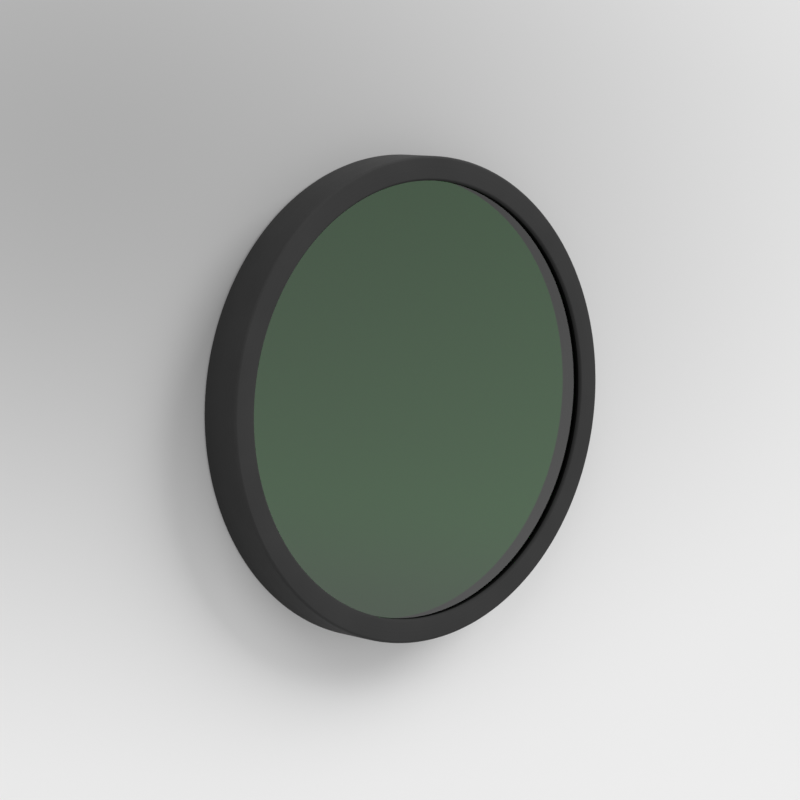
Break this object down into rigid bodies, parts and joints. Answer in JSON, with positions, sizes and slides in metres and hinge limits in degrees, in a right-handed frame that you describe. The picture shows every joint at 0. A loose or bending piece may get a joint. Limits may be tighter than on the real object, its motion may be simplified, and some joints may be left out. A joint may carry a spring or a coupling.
{
  "type": "optical bandpass filter",
  "caption": "Round mounted optical bandpass filter: a green coated glass plate clamped in a thin black threadless cell by a threaded retaining ring, for a filter wheel.",
  "frame": {"origin": "centre of the cell's rear face, which the filter lies on", "axes": "+Z along the optical axis, out of the front face with the lip; +X through one spanner slot of the retaining ring"},
  "size_m": [0.05, 0.05, 0.005],
  "materials": {
    "black_anodised": "matte black anodised, finely turned",
    "coated_glass": "polished faces with an interference coating, ground edge",
    "ring_black": "matte black anodised"
  },
  "bodies": {
    "root": {"cell": "black_anodised", "filter_glass": "coated_glass", "retaining_ring": "ring_black"}
  },
  "joints": []
}
